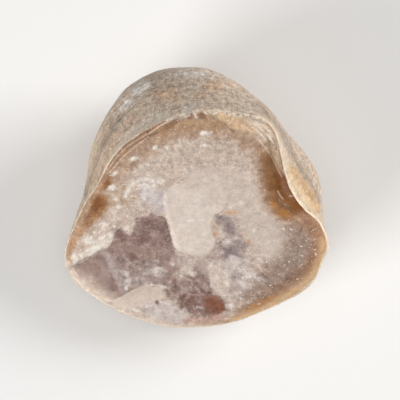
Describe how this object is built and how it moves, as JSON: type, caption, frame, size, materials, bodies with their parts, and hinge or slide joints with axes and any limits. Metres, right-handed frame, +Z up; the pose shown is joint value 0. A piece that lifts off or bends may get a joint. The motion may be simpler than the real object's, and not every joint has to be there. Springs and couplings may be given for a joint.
{
  "type": "flint nodule",
  "caption": "Rounded rind-covered flint nodule broken across, its sloping broken face uppermost, lying on a small flat spot.",
  "frame": {"origin": "on the resting surface, below the middle of the stone's bounding box", "axes": "+Z up from the flat foot. The broken face slopes up towards +Y and a little towards +X, and the rind stands highest at +Y."},
  "size_m": [0.0534, 0.0528, 0.0404],
  "materials": {
    "flint": null
  },
  "bodies": {
    "root": {"flint_nodule": "flint"}
  },
  "joints": []
}
